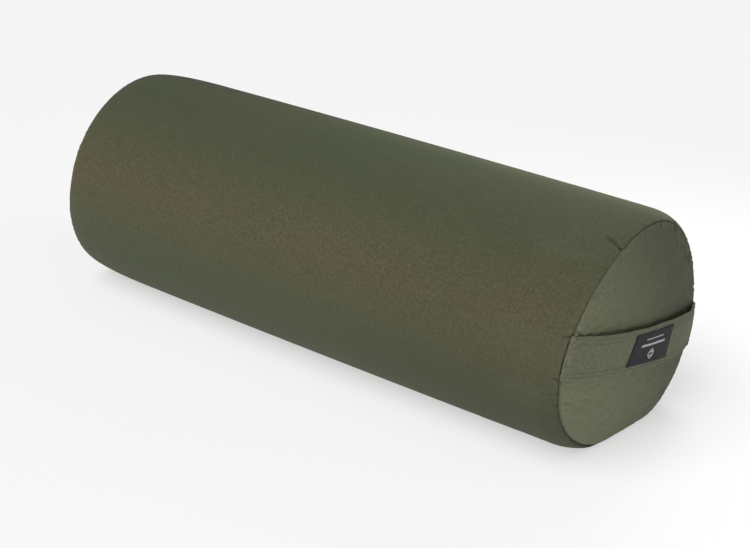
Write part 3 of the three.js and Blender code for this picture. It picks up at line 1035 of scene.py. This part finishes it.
def make_label_mark(pale, dark):
    """A plain woven ornament, two bars over a lozenge, and the dark stitches that hold the label."""
    top = LABEL_THICKNESS - 0.00005
    pitch = 0.00125
    parts = []
    for half, y, length, slant in ((0.0195, 0.0034, 0.0031, 0.35), (0.0145, 0.0092, 0.0015, 0.0)):
        x = np.arange(-half, half, pitch)
        uneven = 0.8 + 0.2 * np.cos(np.arange(len(x)) * math.pi)
        parts.append(label_stitches(x, y, slant * 0.001, 0.001, top, length * uneven))
    for size in (0.0052, 0.0030):
        corners = size * np.stack([np.cos(full_turn(4)), np.sin(full_turn(4))], -1)
        for corner, following in zip(corners, np.roll(corners, -1, 0)):
            middle, run = (corner + following) / 2, following - corner
            length = 0.96 * np.linalg.norm(run)
            parts.append(label_stitches(middle[:1], middle[1:] - 0.0066, *run, top, length))
    stitches("label_mark", parts, 0.00105, pale, "handle")

    parts = []
    wide, tall = (half - LABEL_STITCH_INSET for half in LABEL_HALF)
    corners = np.array([(-wide, -tall), (wide, -tall), (wide, tall), (-wide, tall)])
    for corner, following in zip(corners, np.roll(corners, -1, 0)):
        run = following - corner
        count = round(np.linalg.norm(run) / 0.0023)
        x, y = (corner + run * (np.arange(count)[:, None] + 0.5) / count).T
        parts.append(label_stitches(x, y, *run / 100, LABEL_THICKNESS - 0.0002, 0.0018))
    stitches("label_stitches", parts, 0.0004, dark, "handle")


# ---------------------------------------------------------------- the zip
def make_tape(name, node, sign, twill):
    """One of the zip's tapes, with the corded edge that its coil is sewn to."""
    inner, width, thickness, cord = 0.0009, 0.0126, 0.0007, 0.00008
    across = inner + np.linspace(0, width, 14)
    under = TAPE_TOP - thickness - cord * bell(across, inner + 0.0008, 0.0007)
    across, out = joined([(across, np.full_like(across, TAPE_TOP)), (across[::-1], under[::-1])])
    x = np.linspace(TAPE_LOW.x, TAPE_HIGH.x, 133)[:, None]
    wave = -0.00004 * (1 + np.clip(smooth_noise((x - ZIP_X) * 12, 31 + sign, 9, 3, 30), -1, 1))
    points = zip_point(x, sign * across, out + wave)
    faces = closed_tube_faces(*points.shape[:2], flip=sign < 0)
    tape = make_object(name, points, faces, smooth=False)
    set_uv(tape, *np.broadcast_arrays(x, across))
    return finish_piece(tape, "root", twill, [node])


def make_coil(name, node, sign, nylon):
    """One half of the zip's teeth: a coil of round nylon thread."""
    pitch, steps, sides, thread = 0.00145, 14, 5, 0.00031
    length = COIL_HIGH.x - COIL_LOW.x - 2 * thread
    turn = np.arange(int(length / pitch * steps)) * 2 * math.pi / steps
    x = COIL_LOW.x + thread + turn / (2 * math.pi) * pitch + (0.5 * pitch if sign < 0 else 0)
    across = 0.0018 + 0.00072 * np.cos(turn)
    out = COIL_BOTTOM + 0.0008 + 0.00048 * np.sin(turn)
    centre = zip_point(np.minimum(x, COIL_HIGH.x - thread), sign * across, out)
    ahead = unit(np.gradient(centre, axis=0))
    side = unit(np.cross(ahead, [1.0, 0, 0]))
    up = np.cross(side, ahead)
    around = full_turn(sides)[:, None]
    points = centre[:, None] + thread * (side[:, None] * np.cos(around) + up[:, None] * np.sin(around))
    coil = make_object(name, points, closed_tube_faces(len(centre), sides, flip=True))
    return finish_piece(coil, "root", nylon, [node])


def make_zip_stitches(points, thread):
    """Topstitching round the slit, sunk into the cover's cloth."""
    offset = 0.0034
    columns_aside = SLIT_COLUMNS + offset / (GIRTH / COLUMNS)
    places = []
    for sign in (-1, 1):
        x = np.arange(ZIP_X - SLIT_HALF - offset, ZIP_X + SLIT_HALF + offset, 0.0033)
        places.append((x, ZIP_COLUMN + sign * columns_aside, [1.0, 0, 0]))
    for end in (-1, 1):
        column = ZIP_COLUMN + np.arange(-SLIT_COLUMNS - 1, SLIT_COLUMNS + 2, 1.6)
        across = [0, -math.sin(ZIP_ANGLE), math.cos(ZIP_ANGLE)]
        places.append((ZIP_X + end * (SLIT_HALF + offset), column, across))
    parts = []
    for x, column, along in places:
        row = np.interp(x, points[:, ZIP_COLUMN, 0], np.arange(len(points)))
        centres = sample(points, *np.broadcast_arrays(row, column), wrap=True)
        out = centres * [0, 1, 1] - [0, 0, AXIS_HEIGHT]
        parts.append((centres, np.broadcast_to(along, centres.shape), out, np.full(len(centres), 0.0026)))
    return stitches("cover_zip_stitches", parts, 0.0006, thread, "root")


def make_care_tag(muslin):
    """A blank folded tag, sewn to the lower tape inside the cover."""
    low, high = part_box("care_tag")
    half_width, half_thickness = 0.006, 0.0002
    across, out = zip_parts(np.array((low + high) / 2))
    turn = full_turn(24)
    across = across + half_width * np.sign(np.cos(turn)) * np.abs(np.cos(turn)) ** 0.3
    out = out + half_thickness * np.sign(np.sin(turn)) * np.abs(np.sin(turn)) ** 0.5
    points = zip_point(np.linspace(low.x, high.x, 21)[:, None], across, out)
    tag = make_object("care_tag_cloth", points, closed_tube_faces(*points.shape[:2]), smooth=False)
    return finish_piece(tag, "root", muslin, ["care_tag"])


# ---------------------------------------------------------------- liner and filling
LINER_INSET = 0.0078
MUSLIN = 0.0006                  # thickness of the liner's cloth
BATTING_INSET = 0.0098
CORE_RADIUS = 0.040
SHEET = 0.0092                   # thickness of the rolled batting


def inside_point(share, radius, angle, inset):
    """A point inside the cover: a share of the half length, a radius for the full tube, and an angle."""
    share, radius, angle = np.broadcast_arrays(share, radius, angle)
    part = radius / RADIUS
    points = np.zeros(share.shape + (3,))
    for end, side in ((REAR, -1), (FRONT, 1)):
        back, rise = shoulder_curve(end)[1:]
        nominal = np.abs(share) * (SEAM_X - inset)
        from_seam = SEAM_X - nominal
        body = SEAM_RADIUS + (tube_radius(nominal) - SEAM_RADIUS) * np.interp(from_seam, back, rise)
        seam_along = ring(end, side, angle)[0] - side * SEAM_X
        fade = np.clip(1 - (from_seam - end["shoulder"]) / SAG_REACH, 0, 1)
        bulge = side * DOME * (1 - part ** 2) * np.abs(share) ** 12
        made = place(side * nominal + seam_along * fade * part + bulge, part * (body - inset), angle)
        own_half = share < 0 if side < 0 else share >= 0
        points = np.where(own_half[..., None], made, points)
    return points


def make_liner(muslin):
    points = tube_grid(SIM_ROWS, SIM_COLUMNS, LINER_INSET)[0]
    tube = make_object("liner_tube", points, grid_faces(len(points), SIM_COLUMNS, wrap=True))
    set_uv(tube, *np.broadcast_arrays(points[..., 0], full_turn(SIM_COLUMNS) * RADIUS), period=GIRTH)
    made = [finish_piece(tube, "root", muslin, ["liner_tube_panel"], MUSLIN)]
    cells = SIM_COLUMNS // 4
    share, turn = disc_layout(cells)[2:]
    for name, end, side in (("liner_front", FRONT, 1), ("liner_rear", REAR, -1)):
        points = disc_points(end, side, share, turn, LINER_INSET)
        panel = make_object(name, points, grid_faces(cells + 1, cells + 1, flip=side > 0))
        set_uv(panel, points[..., 1], points[..., 2])
        made.append(finish_piece(panel, "root", muslin, [f"{name}_panel"], MUSLIN))
    return made


def make_roll(name, node, start, stop, batting):
    """Batting rolled up: a spiral sheet from one radius out to another."""
    turns = (stop - start) / SHEET
    wind = np.linspace(0, turns * 2 * math.pi, int(turns * 40))
    inner = start + SHEET * wind / (2 * math.pi) + 0.0005 * smooth_noise(wind / turns, 51, 8, 3, 25)
    room = turns - wind / (2 * math.pi)
    outer = inner + 0.86 * SHEET * np.minimum(1, room + 0.15)
    radius, angle = joined([(inner, wind), (outer[::-1], wind[::-1])])
    share = np.sin(np.linspace(-1, 1, 25) * math.pi / 2)[:, None]
    points = inside_point(share, radius, angle, BATTING_INSET)
    rows, columns = points.shape[:2]
    faces = grid_faces(rows, columns, wrap=True).tolist()
    half = columns // 2
    for row, flip in ((0, 1), (rows - 1, -1)):
        base = row * columns
        faces += [[base + k, base + k + 1, base + columns - 2 - k, base + columns - 1 - k][::-flip]
                  for k in range(half - 1)]
    roll = make_object(name, points, faces)
    return finish_piece(roll, "root", batting, [node])


# ---------------------------------------------------------------- materials
class Shader:
    """A material whose nodes are added one by one and linked to its surface shader."""

    def __init__(self, name, roughness, **sockets):
        self.material = bpy.data.materials.new(name)
        self.material.use_nodes = True
        self.tree = self.material.node_tree
        self.surface = self.tree.nodes["Principled BSDF"]
        self.surface.inputs["Roughness"].default_value = roughness
        for socket, value in sockets.items():
            self.surface.inputs[socket.replace("_", " ")].default_value = value

    def node(self, kind, inputs, settings=(), output=0):
        made = self.tree.nodes.new("ShaderNode" + kind)
        for name, value in dict(settings).items():
            setattr(made, name, value)
        for socket, value in inputs.items():
            if isinstance(value, bpy.types.NodeSocket):
                self.tree.links.new(value, made.inputs[socket])
            else:
                made.inputs[socket].default_value = value
        return made.outputs[output]

    def math(self, operation, first, second=0.5, third=0.5):
        return self.node("Math", {0: first, 1: second, 2: third}, {"operation": operation})

    def attribute(self, name):
        return self.node("Attribute", {}, {"attribute_name": name}, output="Fac")

    def uv(self, across=1.0, up=1.0, turn=0.0):
        cloth = self.node("UVMap", {}, {"uv_map": "cloth"})
        return self.node("Mapping", {"Vector": cloth, "Scale": (across, up, 1), "Rotation": (0, 0, turn)})

    def place(self):
        return self.node("TexCoord", {}, output="Object")

    def noise(self, vector, scale, detail=2.0, roughness=0.5, distortion=0.0):
        return self.node("TexNoise", {"Vector": vector, "Scale": scale, "Detail": detail,
                                      "Roughness": roughness, "Distortion": distortion})

    def threads(self, vector, pitch, direction, distortion):
        """Rounded bands, one a pitch, across X or Y of a vector in metres."""
        inputs = {"Vector": vector, "Scale": math.pi / 10 / pitch, "Distortion": distortion,
                  "Detail": 2.0, "Detail Scale": 1.5}
        return self.node("TexWave", inputs, {"bands_direction": direction}, output="Fac")

    def scaled(self, value, low, high):
        return self.node("MapRange", {"Value": value, "To Min": low, "To Max": high})

    def mix(self, factor, first, second, blend="MIX"):
        inputs = {"Fac": factor, "Color1": first, "Color2": second}
        return self.node("MixRGB", inputs, {"blend_type": blend})

    def shaded(self, colour, amount):
        """A colour multiplied by a number."""
        amounts = self.node("CombineColor", {0: amount, 1: amount, 2: amount})
        return self.mix(1.0, colour, amounts, "MULTIPLY")

    def bump(self, height, distance, strength=1.0, normal=None):
        inputs = {"Height": height, "Distance": distance, "Strength": strength}
        if normal is not None:
            inputs["Normal"] = normal
        return self.node("Bump", inputs)

    def link(self, socket, value):
        self.tree.links.new(value, self.surface.inputs[socket])


def grey(value):
    return (value, value, value, 1)


def canvas_material(name, green, brown, pitch=0.0013):
    """Olive cotton canvas: over-and-under threads, thick and thin yarns, seams paler from wear and painted
    with shade, painted light and shade from the fade attribute, and a soft bloom.
    """
    shader = Shader(name, 0.9, Sheen_Weight=0.12, Sheen_Roughness=0.5, Sheen_Tint=(0.62, 0.64, 0.5, 1),
                    Specular_IOR_Level=0.25)
    plain = shader.uv()
    warp = shader.threads(plain, pitch, "Y", 1.4)
    weft = shader.threads(plain, pitch, "X", 1.4)
    squares = {"Vector": plain, "Scale": 1 / pitch, "Color1": grey(1), "Color2": grey(0)}
    cells = shader.node("TexChecker", squares, output="Fac")
    weave = shader.node("MapRange", {"Value": cells, "To Min": warp, "To Max": weft})
    long_slubs = shader.noise(shader.uv(60, 900), 1.0, 3.0, 0.6)
    round_slubs = shader.noise(shader.uv(900, 60), 1.0, 3.0, 0.6)
    slubs = shader.math("MULTIPLY", shader.math("ADD", long_slubs, round_slubs), 0.5)
    mottle = shader.noise(shader.uv(260, 260), 1.0, 4.0, 0.65, 0.8)
    broad = shader.noise(shader.place(), 7.0, 3.0, 0.55, 0.4)

    warmth = shader.math("ADD", shader.attribute("warmth"), shader.scaled(broad, -0.35, 0.35))
    warmth.node.use_clamp = True
    colour = shader.mix(warmth, (*green, 1), (*brown, 1))
    colour = shader.shaded(colour, shader.scaled(slubs, 0.55, 1.45))
    colour = shader.shaded(colour, shader.scaled(mottle, 0.78, 1.22))
    # The ribs of the twill break up into short dark and light streaks, plainest where the cloth is worn.
    streaks = shader.noise(shader.uv(880, 360, 0.35), 1.0, 2.0, 0.6, 0.7)
    show = shader.scaled(shader.attribute("warmth"), 0.25, 1.75)
    grain = shader.math("MULTIPLY_ADD", shader.math("SUBTRACT", streaks, 0.5), show, 1.0)
    yarns_seen = shader.math("MULTIPLY", shader.scaled(weave, 0.82, 1.06), grain)
    # The fade value is painted light and shade: it makes the cloth lighter or darker by place, as light would
    # fall.
    colour = shader.shaded(colour, shader.math("MULTIPLY", yarns_seen, shader.attribute("fade")))
    # Handling rubs the dye off the ridges beside a seam; the seam itself and the valleys of creases get
    # painted shade, a near-black mix.
    seam = shader.attribute("seam")
    rub = shader.math("MULTIPLY", shader.math("MULTIPLY", seam, mottle), 0.22)
    colour = shader.mix(rub, colour, (0.2, 0.2, 0.15, 1))
    painted_shade = shader.math("MULTIPLY", shader.math("POWER", seam, 6.0), 0.7)
    colour = shader.mix(painted_shade, colour, (0.012, 0.012, 0.008, 1))
    shader.link("Base Color", colour)
    shader.link("Roughness", shader.scaled(slubs, 0.78, 1.0))

    coarse = shader.bump(mottle, 0.0005, 0.35, shader.bump(streaks, 0.0006, 0.6))
    yarns = shader.bump(slubs, 0.0004, 0.5, coarse)
    shader.link("Normal", shader.bump(weave, 0.00022, 0.6, yarns))
    return shader.material


def thread_material(name, colour):
    """Spun sewing thread: a slight twist and tone changes from stitch to stitch."""
    shader = Shader(name, 0.7, Sheen_Weight=0.2, Sheen_Roughness=0.4)
    tone = shader.noise(shader.place(), 420.0, 1.0)
    dark = tuple(0.6 * c for c in colour)
    shader.link("Base Color", shader.mix(tone, (*dark, 1), (*(1.3 * c for c in colour), 1)))
    twist = shader.node("TexWave", {"Vector": shader.place(), "Scale": 900.0, "Distortion": 2.0},
                        {"bands_direction": "DIAGONAL"}, output="Fac")
    shader.link("Normal", shader.bump(twist, 0.0001, 0.5))
    return shader.material


def satin_material():
    """Black woven satin: long floats of thread in close rows, with a little dust."""
    shader = Shader("label_satin", 0.6, Sheen_Weight=0.03, Sheen_Roughness=0.35, Specular_IOR_Level=0.2)
    floats = shader.threads(shader.uv(), 0.00045, "Y", 0.6)
    breaks = shader.noise(shader.uv(500, 2200), 1.0, 2.0, 0.6)
    weave = shader.math("MULTIPLY", floats, shader.scaled(breaks, 0.5, 1.2))
    dust = shader.noise(shader.uv(180, 180), 1.0, 4.0, 0.7)
    colour = shader.mix(shader.scaled(weave, 0.0, 1.0), (0.004, 0.004, 0.005, 1), (0.016, 0.016, 0.02, 1))
    shader.link("Base Color", shader.mix(shader.scaled(dust, -0.02, 0.06), colour, (0.12, 0.12, 0.11, 1)))
    shader.link("Roughness", shader.scaled(breaks, 0.5, 0.8))
    shader.link("Normal", shader.bump(weave, 0.00012, 0.7))
    return shader.material


def tape_material():
    """Herringbone tape: slanted ribs that turn back every few millimetres across it."""
    shader = Shader("zip_tape_twill", 0.85, Sheen_Weight=0.1)
    along, across = shader.node("SeparateXYZ", {0: shader.uv()}).node.outputs[:2]
    turned = shader.math("PINGPONG", across, 0.0017)
    phase = shader.math("MULTIPLY", shader.math("ADD", along, turned), 2 * math.pi / 0.0009)
    rib = shader.scaled(shader.math("SINE", phase), 0.0, 1.0)
    fuzz = shader.noise(shader.uv(700, 700), 1.0, 3.0)
    colour = shader.mix(rib, (0.036, 0.038, 0.025, 1), (0.068, 0.072, 0.048, 1))
    shader.link("Base Color", shader.shaded(colour, shader.scaled(fuzz, 0.75, 1.25)))
    shader.link("Roughness", shader.scaled(fuzz, 0.75, 0.95))
    shader.link("Normal", shader.bump(rib, 0.00015, 0.6))
    return shader.material


def nylon_material():
    """Dyed nylon thread with dull scuffs where the slider has run."""
    shader = Shader("zip_nylon", 0.4, Specular_IOR_Level=0.5)
    scuff = shader.noise(shader.place(), 300.0, 3.0, 0.6)
    shader.link("Base Color", shader.mix(scuff, (0.030, 0.032, 0.022, 1), (0.062, 0.066, 0.046, 1)))
    shader.link("Roughness", shader.scaled(scuff, 0.28, 0.6))
    shader.link("Normal", shader.bump(scuff, 0.00005, 0.4))
    return shader.material


def brass_material():
    """Antique brass: a dark patina, rubbed bright on the high edges, with fine scratches."""
    shader = Shader("zip_antique_brass", 0.38, Metallic=1.0)
    stretched = shader.node("Mapping", {"Vector": shader.place(), "Scale": (300, 2600, 2600)})
    scratches = shader.noise(stretched, 1.0, 3.0)
    patina = shader.noise(shader.place(), 260.0, 4.0, 0.6)
    height = shader.node("NewGeometry", {}, output="Pointiness")
    rubbed = shader.node("MapRange", {"Value": height, "From Min": 0.5, "From Max": 0.62})
    bright = shader.math("ADD", shader.math("MULTIPLY", rubbed, 0.8), shader.scaled(patina, -0.25, 0.45))
    bright.node.use_clamp = True
    shader.link("Base Color", shader.mix(bright, (0.09, 0.075, 0.05, 1), (0.52, 0.42, 0.26, 1)))
    shader.link("Roughness", shader.scaled(scratches, 0.28, 0.55))
    shader.link("Normal", shader.bump(scratches, 0.00003, 0.4))
    return shader.material


def muslin_material():
    """Unbleached plain weave with flecks of seed husk."""
    shader = Shader("unbleached_muslin", 0.95, Sheen_Weight=0.1)
    place = shader.place()
    warp, weft = (shader.node("TexWave", {"Vector": place, "Scale": 380.0, "Distortion": 1.5},
                              {"bands_direction": direction}, output="Fac") for direction in "XZ")
    weave = shader.math("MAXIMUM", warp, weft)
    flecks = shader.noise(place, 240.0, 2.0)
    flecks = shader.node("MapRange", {"Value": flecks, "From Min": 0.7, "From Max": 0.76})
    colour = shader.mix(shader.scaled(weave, 0.0, 1.0), (0.55, 0.5, 0.39, 1), (0.74, 0.69, 0.57, 1))
    shader.link("Base Color", shader.mix(flecks, colour, (0.25, 0.19, 0.11, 1)))
    shader.link("Normal", shader.bump(weave, 0.0002, 0.5))
    return shader.material


def batting_material():
    """Felted cotton: matted fibres and soft lumps."""
    shader = Shader("cotton_batting", 1.0, Sheen_Weight=0.3, Sheen_Roughness=0.6)
    place = shader.place()
    fibres = shader.noise(place, 520.0, 6.0, 0.75, 2.5)
    lumps = shader.noise(place, 45.0, 3.0)
    shader.link("Base Color", shader.mix(fibres, (0.66, 0.62, 0.53, 1), (0.84, 0.81, 0.74, 1)))
    shader.link("Normal", shader.bump(fibres, 0.0006, 0.6, shader.bump(lumps, 0.003, 0.5)))
    return shader.material


# ---------------------------------------------------------------- the whole bolster
TUBE_DYE = (0.069, 0.083, 0.043), (0.088, 0.079, 0.043)
# The end panels and the strap use the tube's cloth painted lighter, as painted light.
PANEL_DYE_AND_PAINTED_LIGHT = (0.106, 0.117, 0.070), (0.122, 0.118, 0.074)
STRAP_DYE_AND_PAINTED_LIGHT = (0.125, 0.137, 0.082), (0.133, 0.137, 0.088)

make_camera()
make_floor()
make_lights()

canvas = canvas_material("cover_canvas", *TUBE_DYE)
panel_canvas = canvas_material("cover_end_canvas_painted_lighter", *PANEL_DYE_AND_PAINTED_LIGHT)
strap_canvas = canvas_material("handle_canvas", *STRAP_DYE_AND_PAINTED_LIGHT)
olive_thread = thread_material("olive_thread", (0.135, 0.142, 0.092))
muslin = muslin_material()
batting = batting_material()

tube_moves, rear_moves, front_moves = simulate_cover()
tube, cover_points = make_tube(tube_moves, canvas)
front = make_panel("cover_front", "cover_front_panel", FRONT, 1, front_moves, PANEL_CREASES, panel_canvas)
rear = make_panel("cover_rear", "cover_rear_panel", REAR, -1, rear_moves, (), panel_canvas)

for name, sign in (("left", -1), ("right", 1)):
    strap = make_strap_half(f"handle_strap_{name}", sign, strap_canvas)
    sewn = strap_stitches(f"handle_stitches_{name}", sign, olive_thread)
    blend_onto_strap(strap)
    blend_onto_strap(sewn)
    if sign < 0:
        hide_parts("handle_strap")
make_label(satin_material())
pale_thread = thread_material("pale_thread", (0.55, 0.55, 0.57))
make_label_mark(pale_thread, thread_material("black_thread", (0.01, 0.01, 0.012)))

twill = tape_material()
nylon = nylon_material()
for name, sign in (("upper", 1), ("lower", -1)):
    make_tape(f"zip_tape_{name}", f"zipper_tape_{name}", sign, twill)
    make_coil(f"zip_coil_{name}", f"zipper_coil_{name}", sign, nylon)
make_zip_stitches(cover_points, olive_thread)
brass = brass_material()
for node in ("zipper_top_stop_upper", "zipper_top_stop_lower", "zipper_bottom_stop",
             "zipper_slider_body", "zipper_pull_tab"):
    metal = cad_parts[node]
    metal.data.materials.clear()
    metal.data.materials.append(brass)
    bevel = metal.modifiers.new("worn_edges", "BEVEL")
    bevel.width = 0.00018
    bevel.segments = 3
    bevel.limit_method = "ANGLE"
make_care_tag(muslin)

for piece in make_liner(muslin):
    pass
wrap = make_roll("batting_wrap_sheet", "batting_wrap", CORE_RADIUS + 0.0004, RADIUS - 0.001, batting)
core = make_roll("batting_core_sheet", "batting_core_roll", 0.004, CORE_RADIUS - 0.0004, batting)
